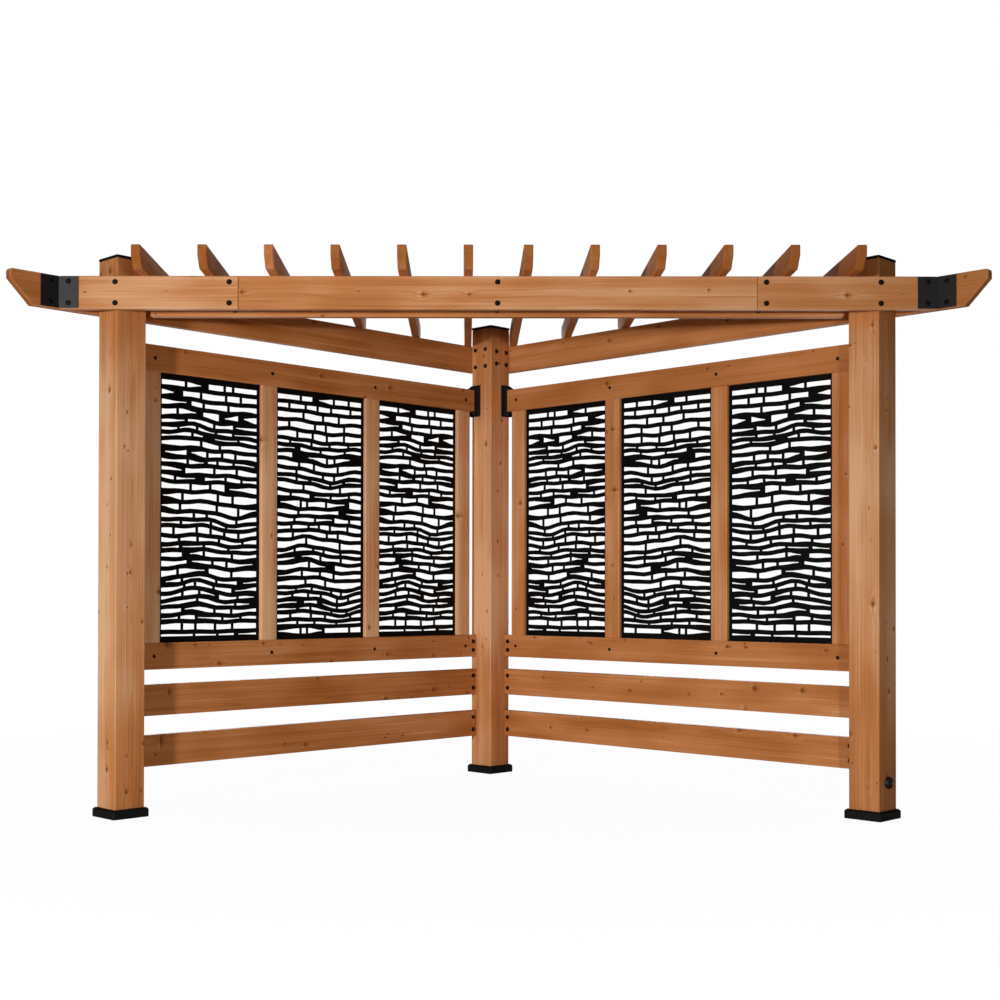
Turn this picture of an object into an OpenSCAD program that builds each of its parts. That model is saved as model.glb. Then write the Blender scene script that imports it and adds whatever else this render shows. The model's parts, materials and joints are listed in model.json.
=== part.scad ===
// Corner pergola: two walls of rails and cut-metal screens meet at a post in the back corner,
// and a header with rafters spans the open front between the two other posts.
// X runs along the front, Y away from it, Z up, in millimetres.
// The origin is the centre of the corner post on the ground.

/* [Plan] */
// Corner post's centre to a front post's centre, along a wall
wall_run = 2226; // [1900:1:2900]

/* [Posts] */
// Side of a square post
post_w = 140; // [110:1:170]
// Height of a post above the top of the beams
post_rise = 86; // [60:1:120]
// Thickness of a post cap
cap_t = 11; // [4:1:16]
// Overhang of a post cap past the post's faces
cap_lip = 1; // [0.5:0.5:4]

/* [Feet] */
// Height of a foot cover
foot_h = 40; // [25:1:80]
// Thickness of a foot cover's walls
foot_wall = 14.5; // [8:0.5:25]
// Thickness of a foot cover's base plate
foot_base = 6; // [3:0.5:12]
// Bevel along a foot cover's top edge
foot_bevel = 7; // [2:0.5:7]
// Gap between a foot cover and its post
foot_clear = 0.5; // [0.2:0.1:1]

/* [Boards] */
// Thickness of every board
board_t = 38; // [32:1:45]
// Height of the headers and side beams
beam_h = 137; // [120:1:180]
// Height of a rafter
rafter_h = 91; // [70:1:120]
// Height of the low and middle rails
wide_rail_h = 134; // [100:1:180]
// Height of the sill and top rails
narrow_rail_h = 115; // [80:1:140]
// Width of a stile
stile_w = 90; // [60:1:110]

/* [Wall heights] */
// Ground to the low rail
low_gap = 192; // [120:1:260]
// Low rail to the middle rail
rail_gap = 83; // [40:1:140]
// Middle rail to the sill rail
sill_gap = 64; // [30:1:120]
// Sill rail to the top rail, the height of the screens' openings
screen_h = 1170; // [900:1:1400]
// Top rail to the underside of the beams
head_gap = 98; // [60:1:200]

/* [Wall bays] */
// Screens in each wall
bays = 3; // [3:1:3]
// Gap between a post and the stile next to it
stile_gap = 52; // [20:1:90]

/* [Front] */
// Depth of the flat that seats the header on a front post's corner
header_seat = 4; // [2:1:14]
// Clear distance between the header and the inner header
sleeve_len = 128; // [80:1:180]
// Diameter of the sleeves between the headers
sleeve_d = 20; // [12:1:28]
// Distance of a sleeve's axis from the headers' top or bottom edge
bolt_edge = 25; // [18:1:40]
// Front post's axis to the middle of a header joint
seam_inset = 470; // [300:1:700]
// Length of the half-lap in a header joint
lap_len = 78; // [40:1:120]
// Gap between the inner header and a front post's corner
inner_gap = 10; // [4:1:30]

/* [Side beams] */
// Length of a beam's tail past the header
tail_len = 215; // [180:1:320]
// Height of the upright nose of a tail
tail_nose = 38; // [20:1:70]

/* [Rafters] */
// Rafters over each wall
side_rafters = 6; // [6:1:6]
// Overhang of a rafter past the header and past the side beam
rafter_over = 164; // [100:1:240]
// Height of the upright nose of a rafter's end
rafter_nose = 43; // [20:1:60]
// Gap between an outer rafter and a post's cap
rafter_gap = 1; // [0.5:0.5:10]

/* [Corner plates] */
// Length of a bent plate's legs
plate_leg = 82; // [60:1:90]
// Thickness of a bent plate
plate_t = 4; // [2:0.5:8]
// Distance of a bent plate's edges from the beam's edges
plate_margin = 3; // [1:1:20]

/* [Rail brackets] */
// Thickness of a bracket's plate, lips and flanges
bracket_t = 3; // [2:0.5:5]
// Width of a bracket's plate
bracket_w = 64; // [52:1:68]
// Height of a bracket's plate past the rail, above and below
bracket_rise = 25; // [10:1:45]
// Depth of a bracket's lips along the rail
bracket_lip = 38; // [25:1:48]
// Depth of the cheek on the rail's inner face
bracket_cheek = 20; // [10:1:24]

/* [Screens] */
// Thickness of a screen
screen_t = 2; // [1:0.5:4]
// Depth of the grooves that hold a screen
groove_depth = 8; // [4:1:14]
// Gap between a screen and its grooves
groove_clear = 0.25; // [0.1:0.05:0.5]
// Plain border that shows around the cut pattern
border = 16; // [8:1:40]
// Height of one row of slots
slot_pitch = 37; // [32:1:60]
// Usual length of a slot
slot_len = 116; // [90:1:220]
// Metal left between two rows
band = 21; // [8:1:24]
// Metal left between two slots in a row
tie = 14; // [6:1:16]
// Rise and fall of the pattern's grain lines
grain_swing = 7; // [0:0.5:8]
// Length of one wave of the grain lines
grain_wave = 420; // [250:10:800]
// Height of the hills in the grain lines
hill_h = 24; // [5:1:28]

/* [Hidden] */
ROOT2 = sqrt(2);
WALL_PIECES = concat(
    ["low_rail", "middle_rail", "sill_rail", "top_rail", "stiles"],
    [for (i = [1:bays]) str("screen_", i)]
);
LEFT = -1;
RIGHT = 1;
wood = "peru";
metal = "#232326";

// Plan: half the front, and half the diagonal of a post
half_span = wall_run / ROOT2;
corner = post_w / ROOT2;
face = post_w / 2;

// Heights, stacked from the ground up
low_z = low_gap;
middle_z = low_z + wide_rail_h + rail_gap;
sill_z = middle_z + wide_rail_h + sill_gap;
screen_z = sill_z + narrow_rail_h;
top_z = screen_z + screen_h;
beam_z = top_z + narrow_rail_h + head_gap;
rafter_z = beam_z + beam_h;
post_top = rafter_z + post_rise;

// Front: the header's two faces, its joints, and where it meets the side beams
header_back = -(half_span + corner - header_seat);
header_front = header_back - board_t;
inner_front = header_back + sleeve_len;
inner_half = half_span - corner - inner_gap;
seam_x = half_span - seam_inset;
header_corner = [header_front - corner, header_front];
header_inner_corner = [header_back - corner, header_back];

// Side beam's tail, measured along its wall from the corner post
tail_end = -(header_corner.x + header_corner.y) / ROOT2 + tail_len;

// Rafters: the outer ones pass the caps with a small gap
rafter_first = (face + cap_lip) * ROOT2 + rafter_gap + board_t / 2;
rafter_pitch = (half_span - 2 * rafter_first) / (side_rafters - 1);
rafter_front = header_front - rafter_over;
beam_back = (face + board_t) * ROOT2;

// Wall: boards are flush with the posts' outer faces, and the screens lie in the middle of the boards
board_c = -face;
screen_c = board_c + board_t / 2;
bay_w = (wall_run - post_w - 2 * stile_gap - (bays + 1) * stile_w) / bays;
groove_w = screen_t + 2 * groove_clear;

// Screen pattern: the area inside the border, in whole rows
pattern_w = bay_w - 2 * border;
pattern_h = screen_h - 2 * border;
slot_rows = round(pattern_h / slot_pitch);
row_h = pattern_h / slot_rows;
row_spread = 0.3;
hill_reach = 95;
hill_fade = 105;
slot_samples = 5;
slot_min = 3;
point_share = 0.15;
point_cut = 0.45;
point_full = 0.9;
point_min = 85;
SLOT_DESIGN = [1, 2, 1];
DESIGNS = 2;
// Hills of each design: place across and up as shares of the pattern, and up or down
HILLS = [
    [[0.68, 0.80, 1], [0.27, 0.47, -1], [0.62, 0.17, 1]],
    [[0.36, 0.66, -1], [0.70, 0.36, 1], [0.25, 0.14, -1]]
];

// Places a child on the left half of the plan, or its mirror image on the right
module on_side(side) {
    if (side == RIGHT) mirror([1, 0, 0]) children();
    else children();
}

// Wall frame: X along the wall from the corner post, Y towards the inside, Z up
module along_wall(side) {
    on_side(side) rotate([0, 0, 225]) children();
}

// Places a child at a front post, in the wall frame
module at_front_post(side) {
    along_wall(side) translate([wall_run, 0, 0]) children();
}

// Distance along the wall where bay i opens
function bay_start(i) = face + stile_gap + stile_w + i * (bay_w + stile_w);

// Square timber post on its foot's base plate
module post_timber() {
    translate([-face, -face, foot_base]) cube([post_w, post_w, post_top - foot_base]);
}

module corner_post() color(wood) rotate([0, 0, 225]) post_timber();

// Front post with a flat behind the header
module front_post(side) color(wood) difference() {
    at_front_post(side) post_timber();
    on_side(side)
        translate([-half_span - corner, header_back - corner, beam_z])
            cube([2 * corner, corner, post_top]);
}

// Foot cover: a cup around the foot of the post with a bevelled rim
module foot_cup() {
    half = face + foot_clear + foot_wall;
    profile = [
        [-half, 0], [half, 0], [half, foot_h - foot_bevel], [half - foot_bevel, foot_h],
        [foot_bevel - half, foot_h], [-half, foot_h - foot_bevel]
    ];
    pocket = post_w + 2 * foot_clear;
    color(metal) difference() {
        intersection() {
            rotate([90, 0, 0]) linear_extrude(2 * half, center = true) polygon(profile);
            rotate([90, 0, 90]) linear_extrude(2 * half, center = true) polygon(profile);
        }
        translate([-pocket / 2, -pocket / 2, foot_base]) cube([pocket, pocket, foot_h]);
    }
}

module corner_foot() rotate([0, 0, 225]) foot_cup();
module left_foot() at_front_post(LEFT) foot_cup();
module right_foot() at_front_post(RIGHT) foot_cup();

module post_cap() {
    side = post_w + 2 * cap_lip;
    translate([-side / 2, -side / 2, post_top]) cube([side, side, cap_t]);
}

module post_caps() color(metal) {
    rotate([0, 0, 225]) post_cap();
    at_front_post(LEFT) post_cap();
    at_front_post(RIGHT) post_cap();
}

// Half-lap at a header joint: the end lengths keep the front half, the centre length the back half
module lap_cut(front, x_outer, x_inner) {
    y = front ? header_front : header_front + board_t / 2;
    translate([x_outer, y, beam_z]) cube([x_inner - x_outer, board_t / 2, beam_h]);
}

// End length of the header, cut to the side beam's inner face
module header_end(side) color(wood) on_side(side) difference() {
    translate([0, 0, beam_z]) linear_extrude(beam_h) polygon([
        header_corner, header_inner_corner,
        [-seam_x + lap_len / 2, header_back], [-seam_x + lap_len / 2, header_front]
    ]);
    lap_cut(false, -seam_x - lap_len / 2, -seam_x + lap_len / 2);
}

module header_centre() color(wood) difference() {
    half = seam_x + lap_len / 2;
    translate([-half, header_front, beam_z]) cube([2 * half, board_t, beam_h]);
    for (side = [LEFT, RIGHT]) on_side(side) lap_cut(true, -half, -seam_x + lap_len / 2);
}

module inner_header() color(wood)
    translate([-inner_half, inner_front, beam_z]) cube([2 * inner_half, board_t, beam_h]);

// Sleeves around the bolts that tie the two headers
module header_sleeves() color(metal)
    for (x = [-seam_x, 0, seam_x], z = [beam_z + bolt_edge, beam_z + beam_h - bolt_edge])
        translate([x, header_back, z]) rotate([-90, 0, 0]) cylinder(d = sleeve_d, h = sleeve_len, $fn = 48);

// Side beam: lapped on the posts, mitred behind the corner post, with a cut tail at the front
module side_beam(side) color(wood) along_wall(side) intersection() {
    outer = -face - board_t;
    translate([0, -face, beam_z]) rotate([90, 0, 0]) linear_extrude(board_t) polygon([
        [outer, 0], [tail_end - beam_h + tail_nose, 0], [tail_end, beam_h - tail_nose],
        [tail_end, beam_h], [outer, beam_h]
    ]);
    translate([0, 0, beam_z]) linear_extrude(beam_h) polygon([
        [outer, outer], [tail_end, outer], [tail_end, -face], [-face, -face]
    ]);
}

// Bent plate in the corner between the header's face and a beam's tail
module corner_plate() {
    along = [-1, -1] / ROOT2;
    outwards = [1, -1] / ROOT2;
    bend = [plate_t * tan(22.5), -plate_t];
    translate([header_corner.x, header_corner.y, beam_z + plate_margin])
        linear_extrude(beam_h - 2 * plate_margin) polygon([
            [0, 0], [plate_leg, 0], [plate_leg, -plate_t], bend,
            plate_leg * along + plate_t * outwards, plate_leg * along
        ]);
}

module corner_plates() color(metal) {
    on_side(LEFT) corner_plate();
    on_side(RIGHT) corner_plate();
}

// Cup bracket that holds one end of a top rail, with the post's face at X = 0:
// a plate on the post, a cheek beside the rail, and a lip with two flanges above and below it
module rail_bracket() {
    rail_top = top_z + narrow_rail_h;
    above = [
        [0, rail_top], [bracket_lip, rail_top], [bracket_lip, rail_top + bracket_t],
        [bracket_t, rail_top + bracket_rise], [0, rail_top + bracket_rise]
    ];
    below = [
        [0, top_z], [bracket_lip, top_z], [bracket_lip, top_z - bracket_rise / 2],
        [bracket_lip - bracket_rise / 2, top_z - bracket_rise], [0, top_z - bracket_rise]
    ];
    translate([0, board_c, top_z - bracket_rise])
        cube([bracket_t, bracket_w, narrow_rail_h + 2 * bracket_rise]);
    translate([0, board_c + board_t, top_z]) cube([bracket_cheek, bracket_t, narrow_rail_h]);
    for (z = [top_z - bracket_t, rail_top])
        translate([0, board_c, z]) cube([bracket_lip, board_t + bracket_t, bracket_t]);
    for (c = [board_c, board_c + board_t], profile = [above, below])
        translate([0, c + bracket_t, 0]) rotate([90, 0, 0]) linear_extrude(bracket_t) polygon(profile);
}

module rail_brackets() color(metal)
    for (side = [LEFT, RIGHT]) along_wall(side) {
        translate([face, 0, 0]) rail_bracket();
        translate([wall_run - face, 0, 0]) mirror([1, 0, 0]) rail_bracket();
    }

// Rafter on edge over wall and headers, counted from the left
module rafter(i) {
    from_centre = i > side_rafters ? i - side_rafters - 1 : side_rafters - i;
    x = rafter_first + from_centre * rafter_pitch;
    back = beam_back - x + rafter_over;
    chamfer = rafter_h - rafter_nose;
    color(wood) on_side(i > side_rafters ? RIGHT : LEFT)
        translate([-x - board_t / 2, 0, rafter_z]) rotate([90, 0, 90]) linear_extrude(board_t) polygon([
            [rafter_front + chamfer, 0], [back - chamfer, 0], [back, chamfer],
            [back, rafter_h], [rafter_front, rafter_h], [rafter_front, chamfer]
        ]);
}

// Rail between two posts, set back from their faces by what holds its ends
module rail(z, h, setback = 0) {
    translate([face + setback, board_c, z])
        cube([wall_run - post_w - 2 * setback, board_t, h]);
}

// Space that the screens' edges take up in the boards around a bay
module bay_groove(i) {
    translate([bay_start(i) - groove_depth, screen_c - groove_w / 2, screen_z - groove_depth])
        cube([bay_w + 2 * groove_depth, groove_w, screen_h + 2 * groove_depth]);
}

module low_rail(side) color(wood) along_wall(side) rail(low_z, wide_rail_h);
module middle_rail(side) color(wood) along_wall(side) rail(middle_z, wide_rail_h);

module sill_rail(side) color(wood) along_wall(side) difference() {
    rail(sill_z, narrow_rail_h);
    for (i = [0:bays - 1]) bay_groove(i);
}

module top_rail(side) color(wood) along_wall(side) difference() {
    rail(top_z, narrow_rail_h, bracket_t);
    for (i = [0:bays - 1]) bay_groove(i);
}

// Upright boards between sill and top rail, one on each side of every bay
module stiles(side) color(wood) along_wall(side) difference() {
    for (i = [0:bays])
        translate([bay_start(i) - stile_w, board_c, screen_z]) cube([stile_w, board_t, screen_h]);
    for (i = [0:bays - 1]) bay_groove(i);
}

// Repeatable random number between 0 and 1 for a design, a row and a use
function draw(design, row, use) = rands(0, 1, 1, 1000 * design + 20 * row + use)[0];

// Heights of a design's grain lines before they wave: rows of uneven height
function row_lines(design) = let (
    rows = [for (r = [0:slot_rows - 1]) 1 + row_spread * (2 * draw(design, r, 18) - 1)],
    sums = [for (r = 0, sum = 0; r <= slot_rows; sum = sum + (r < slot_rows ? rows[r] : 0), r = r + 1) sum]
) [for (s = sums) pattern_h * s / sums[slot_rows]];

ROW_LINES = [for (design = [1:DESIGNS]) row_lines(design)];

// Height of grain line i at x: straight at the borders, wavy and hilly between them
function grain(design, i, x) = let (
    z = ROW_LINES[design - 1][i],
    share = min(1, 3 * sin(180 * i / slot_rows)),
    long_wave = sin(360 * x / grain_wave + 47 * design + 13 * i),
    short_wave = sin(900 * x / grain_wave + 29 * design + 113 * i),
    hills = [for (hill = HILLS[design - 1]) let (
        dx = (x - hill[0] * pattern_w) / hill_reach,
        dz = (z - hill[1] * pattern_h) / hill_fade
    ) hill[2] * hill_h * exp(-dx * dx - dz * dz)]
) z + share * (grain_swing * (0.6 * long_wave + 0.4 * short_wave) + hills * [for (h = hills) 1]);

// Where the slots of a row begin and end: an uneven division of the pattern's width
function row_cuts(design, row) = let (
    n = max(2, round(pattern_w / slot_len + 2.4 * (draw(design, row, 0) - 0.5)))
) [for (j = [0:n]) pattern_w * (j + (j == 0 || j == n ? 0 : 0.7 * (draw(design, row, j) - 0.5))) / n];

// One slot between two places in a row; it runs to a point at its start or its end
function slot(design, row, x0, x1, point) = let (
    edges = [for (s = [0:1 / (slot_samples - 1):1]) let (
        x = x0 + s * (x1 - x0),
        z0 = grain(design, row, x),
        z1 = grain(design, row + 1, x),
        taper = point == 0 ? 1 : min(1, (point > 0 ? 1 - s : s) / point_full),
        half = max(slot_min, taper * (z1 - z0 - band)) / 2
    ) [x, (z0 + z1) / 2 - half, (z0 + z1) / 2 + half]]
) concat(
    [for (e = edges) [e[0], e[1]]],
    [for (s = [slot_samples - 1:-1:0]) [edges[s][0], edges[s][2]]]
);

// Every slot of a design: a pointed slot leaves a part of its place blank
function slots(design) = [for (row = [0:slot_rows - 1]) let (cuts = row_cuts(design, row))
    for (j = [0:len(cuts) - 2]) let (
        x0 = cuts[j] + (j == 0 ? 0 : tie / 2),
        x1 = cuts[j + 1] - (j == len(cuts) - 2 ? 0 : tie / 2),
        pick = x1 - x0 < point_min ? 0.5 : draw(design, row, 8 + j),
        point = pick < point_share ? -1 : pick > 1 - point_share ? 1 : 0,
        blank = point == 0 ? 0 : point_cut * draw(design, row, 19) * (x1 - x0)
    ) slot(design, row, point < 0 ? x0 + blank : x0, point > 0 ? x1 - blank : x1, point)
];

// Cut-metal screen in bay i, seated on the bottom of the sill's groove
module screen(side, i) {
    edge = groove_depth - groove_clear;
    low = -groove_depth;
    rim = [[-edge, low], [bay_w + edge, low], [bay_w + edge, screen_h + edge], [-edge, screen_h + edge]];
    cuts = slots(SLOT_DESIGN[i - 1]);
    size = 2 * slot_samples;
    points = concat(rim, [for (cut = cuts, p = cut) p + [border, border]]);
    paths = concat([[0, 1, 2, 3]], [for (c = [0:len(cuts) - 1]) [for (p = [0:size - 1]) 4 + c * size + p]]);
    color(metal) along_wall(side)
        translate([bay_start(i - 1), screen_c + screen_t / 2, screen_z])
            rotate([90, 0, 0]) linear_extrude(screen_t) polygon(points, paths);
}

corner_post();
front_post(LEFT);  // left_post
front_post(RIGHT);  // right_post
corner_foot();
left_foot();
right_foot();
post_caps();
header_end(LEFT);  // header_left
header_centre();
header_end(RIGHT);  // header_right
inner_header();
header_sleeves();
side_beam(LEFT);  // left_beam
side_beam(RIGHT);  // right_beam
corner_plates();
rail_brackets();
for (i = [1:2 * side_rafters]) rafter(i);
for (side = [LEFT, RIGHT]) {
    name = side == LEFT ? "left_" : "right_";
    low_rail(side);
    middle_rail(side);
    sill_rail(side);
    top_rail(side);
    stiles(side);
    for (i = [1:bays]) screen(side, i);
}
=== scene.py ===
"""Looks for a corner pergola: stained cedar posts and boards, cut-metal screens and black steel fittings."""

import json
import math
import random

import bmesh
import bpy
from mathutils import Matrix, Vector


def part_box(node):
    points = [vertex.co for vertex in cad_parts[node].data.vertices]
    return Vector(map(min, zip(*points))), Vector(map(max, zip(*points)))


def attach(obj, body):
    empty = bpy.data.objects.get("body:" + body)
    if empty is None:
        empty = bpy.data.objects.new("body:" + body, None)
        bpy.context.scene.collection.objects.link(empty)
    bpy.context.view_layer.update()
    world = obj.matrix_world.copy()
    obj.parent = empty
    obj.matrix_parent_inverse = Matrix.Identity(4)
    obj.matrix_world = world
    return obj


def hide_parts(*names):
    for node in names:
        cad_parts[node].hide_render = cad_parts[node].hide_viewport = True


bl_info = {
    "name": "Corner Pergola Looks",
    "version": (1, 0, 0),
    "blender": (4, 5, 0),
    "location": "View3D > Sidebar > Pergola",
    "description": "Dresses a corner pergola in stained cedar and black steel",
    "category": "Add Mesh",
}

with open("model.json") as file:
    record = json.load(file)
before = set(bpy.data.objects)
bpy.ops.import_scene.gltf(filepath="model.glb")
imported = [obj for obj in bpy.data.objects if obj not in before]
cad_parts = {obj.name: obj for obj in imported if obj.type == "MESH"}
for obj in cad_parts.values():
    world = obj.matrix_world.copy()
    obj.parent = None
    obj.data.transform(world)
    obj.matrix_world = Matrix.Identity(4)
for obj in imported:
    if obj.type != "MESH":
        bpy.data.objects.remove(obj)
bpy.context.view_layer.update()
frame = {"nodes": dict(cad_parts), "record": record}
BODY = "root"
SIDES = {"left": -1, "right": 1}

# Directions that boards run in or fasteners look in
UP = Vector((0, 0, 1))
FRONT = Vector((0, -1, 0))
DIAGONAL = Vector((1, 1, 0)).normalized()
CROSS_DIAGONAL = Vector((1, -1, 0)).normalized()
BOARD_DIRECTIONS = (Vector((1, 0, 0)), Vector((0, 1, 0)), UP, DIAGONAL, CROSS_DIAGONAL)

# Points that lie closer than this count as one, in metres
NEAR = 1e-5


def place_of(mount):
    """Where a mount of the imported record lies, in metres."""
    for entry in frame["record"]["mounts"]:
        if entry["name"] == mount:
            return Vector(entry["pos_m"])
    raise ValueError(f"the record has no mount named {mount}")


# Driving places, read from the frame
HALF_SPAN = place_of("right_foot").x
POST_LOW, POST_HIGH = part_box("corner_post")
POST_W = (POST_HIGH.x - POST_LOW.x) / math.sqrt(2)
HEADER_LOW, HEADER_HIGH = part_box("header_centre")
BOARD_T = HEADER_HIGH.y - HEADER_LOW.y
SEAM_X = (HEADER_HIGH.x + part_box("header_right")[0].x) / 2
RAIL_FACE = -POST_W / 2 + BOARD_T


class TimberSettings(bpy.types.PropertyGroup):
    """Sizes and colours of the stained cedar"""

    post_ease: bpy.props.FloatProperty(
        name="Post Arris", description="Rounding of a post's edges", default=0.006, unit="LENGTH")
    board_ease: bpy.props.FloatProperty(
        name="Board Arris", description="Rounding of a board's edges", default=0.004, unit="LENGTH")
    tail_round: bpy.props.FloatProperty(
        name="Tail Round", description="Rounding of the upper corner of a beam's tail",
        default=0.012, unit="LENGTH")
    ring_width: bpy.props.FloatProperty(
        name="Ring Width", description="Distance between two growth rings", default=0.006, unit="LENGTH")
    knot_radius: bpy.props.FloatProperty(
        name="Knot Radius", description="Usual radius of a knot", default=0.0065, unit="LENGTH")
    pale: bpy.props.FloatVectorProperty(
        name="Light Stain", description="Wood that took little stain",
        default=(0.84, 0.47, 0.250), subtype="COLOR")
    warm: bpy.props.FloatVectorProperty(
        name="Usual Stain", description="Wood that took the usual stain",
        default=(0.61, 0.238, 0.080), subtype="COLOR")
    deep: bpy.props.FloatVectorProperty(
        name="Deep Stain", description="Wood that took much stain",
        default=(0.40, 0.124, 0.026), subtype="COLOR")
    knot: bpy.props.FloatVectorProperty(
        name="Knot", description="Heart of a knot", default=(0.130, 0.050, 0.020), subtype="COLOR")
    # Painted shade: the posts are lightest at this height and darker away from it
    post_least_shade_height: bpy.props.FloatProperty(
        name="Post Middle", description="Height at which the posts took the least stain",
        default=1.18, unit="LENGTH")
    # Painted shade: how much darker the posts get towards their ends
    end_painted_shade: bpy.props.FloatProperty(
        name="End Stain", description="How much more stain the posts took at their ends", default=0.52)
    seed: bpy.props.IntProperty(
        name="Seed", description="Chooses how each board was cut from its log", default=11)


class SteelSettings(bpy.types.PropertyGroup):
    """Finish of the black steel"""

    coat: bpy.props.FloatVectorProperty(
        name="Coat", description="Powder coat on feet, caps, plates, brackets, sleeves and disc",
        default=(0.0042, 0.0042, 0.0044), subtype="COLOR")
    screen_coat: bpy.props.FloatVectorProperty(
        name="Screen Coat", description="Powder coat on screens, bolts and screws",
        default=(0.0020, 0.0020, 0.0021), subtype="COLOR")
    edge: bpy.props.FloatProperty(
        name="Edge", description="Rounding of the steel pieces' edges", default=0.0015, unit="LENGTH")
    foot_edge: bpy.props.FloatProperty(
        name="Foot Edge", description="Rounding of the foot covers' edges", default=0.005, unit="LENGTH")


class FastenerSettings(bpy.types.PropertyGroup):
    """Sizes of bolts, screws and the disc"""

    bolt_head: bpy.props.FloatProperty(
        name="Bolt Head", description="Diameter of a bolt's head", default=0.022, unit="LENGTH")
    screw_head: bpy.props.FloatProperty(
        name="Screw Head", description="Diameter of a screw's head", default=0.016, unit="LENGTH")
    bolt_edge: bpy.props.FloatProperty(
        name="Bolt Edge", description="Distance of a bolt from a header's edge",
        default=0.025, unit="LENGTH")
    disc: bpy.props.FloatProperty(
        name="Disc", description="Diameter of the plain disc on the right post",
        default=0.050, unit="LENGTH")


class StageSettings(bpy.types.PropertyGroup):
    """Floor, light and camera"""

    floor: bpy.props.FloatVectorProperty(
        name="Floor", description="Colour of the floor", default=(0.70, 0.70, 0.70), subtype="COLOR")
    key: bpy.props.FloatProperty(
        name="Key", description="Power of the key light", default=114.0, unit="POWER")
    fill: bpy.props.FloatProperty(
        name="Fill", description="Power of the fill light", default=34.5, unit="POWER")
    back: bpy.props.FloatProperty(
        name="Back", description="Power of each light behind", default=180.0, unit="POWER")
    top: bpy.props.FloatProperty(
        name="Top", description="Power of the light above", default=110.0, unit="POWER")
    sky: bpy.props.FloatProperty(
        name="Sky", description="Strength of the light from all around", default=0.025)
    lens: bpy.props.FloatProperty(
        name="Lens", description="Focal length in millimetres", default=52.405)


# Node trees


def put(tree, kind, inputs=(), **settings):
    """Adds a node, sets its options, and links or sets its inputs, given by name or by place."""
    node = tree.nodes.new(kind)
    for name, value in settings.items():
        setattr(node, name, value)
    pairs = inputs.items() if isinstance(inputs, dict) else enumerate(inputs)
    for key, value in pairs:
        if isinstance(value, bpy.types.NodeSocket):
            tree.links.new(value, node.inputs[key])
        else:
            node.inputs[key].default_value = value
    return node


def link_all(tree, values, sockets):
    """Links values to the sockets of the same names."""
    for name, value in values.items():
        tree.links.new(value, sockets[name])


def calc(tree, operation, *values):
    """One Math node's result."""
    return put(tree, "ShaderNodeMath", values, operation=operation).outputs[0]


def length_of(tree, vector):
    """The length of a vector."""
    return put(tree, "ShaderNodeVectorMath", (vector,), operation="LENGTH").outputs["Value"]


def fade(tree, value, start, end, low=0.0, high=1.0):
    """A smooth step of a value from low at start to high at end."""
    inputs = {"Value": value, "From Min": start, "From Max": end, "To Min": low, "To Max": high}
    return put(tree, "ShaderNodeMapRange", inputs, interpolation_type="SMOOTHSTEP").outputs[0]


def blend_colours(tree, share, first, second):
    """Two colours mixed by a share."""
    return put(tree, "ShaderNodeMix", {0: share, 6: first, 7: second}, data_type="RGBA").outputs[2]


def noise(tree, place, scale, detail):
    """Noise at a place, the same in all directions."""
    inputs = {"Vector": place, "Scale": scale, "Detail": detail}
    return put(tree, "ShaderNodeTexNoise", inputs).outputs[0]


def stretched_noise(tree, place, stretch, detail=2.0):
    """Noise at a place whose axes are multiplied first, so that it runs along the grain."""
    scaled = put(tree, "ShaderNodeVectorMath", (place, stretch), operation="MULTIPLY").outputs[0]
    return noise(tree, scaled, 1.0, detail)


def object_place(tree):
    """The place of a point of the surface, in metres."""
    return put(tree, "ShaderNodeTexCoord").outputs["Object"]


def attribute(tree, name, output):
    """A piece's own attribute as a node's output."""
    return put(tree, "ShaderNodeAttribute", attribute_name=name).outputs[output]


def new_group(name, inputs, outputs):
    """An empty shader group with its sockets, and its two end nodes."""
    tree = bpy.data.node_groups.new(name, "ShaderNodeTree")
    for socket, (kind, value) in inputs.items():
        made = tree.interface.new_socket(socket, in_out="INPUT", socket_type=kind)
        if value is not None:
            made.default_value = value
    for socket in outputs:
        tree.interface.new_socket(socket, in_out="OUTPUT", socket_type="NodeSocketFloat")
    return tree, put(tree, "NodeGroupInput").outputs, put(tree, "NodeGroupOutput").inputs


# Shader groups and materials

# Streaks of the wood: stretch of the noise along and across the grain, its detail, range and weight
STREAKS = {
    "bands": ((0.6, 30.0, 30.0), 2.0, (0.33, 0.67), 0.18),
    "clouds": ((2.4, 7.0, 7.0), 1.0, (0.30, 0.70), 0.28),
    "hairlines": ((1.1, 210.0, 210.0), 2.0, (0.52, 0.74), 0.16),
    "pale_lines": ((1.9, 120.0, 150.0), 1.0, (0.58, 0.76), -0.19),
}

# Powder coats: the setting that holds the colour, the roughness, the size of the coat's grain and the shine
COATS = {
    "black_steel": ("coat", 0.48, 0.0012, 0.5),
    "foot_steel": ("coat", 0.55, 0.0012, 0.2),
    "bolt_steel": ("screen_coat", 0.45, 0.0009, 0.2),
    "screen_steel": ("screen_coat", 0.55, 0.0009, 0.1),
}

# Materials by finish, filled when the first one is needed
FINISHES = {}


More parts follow.
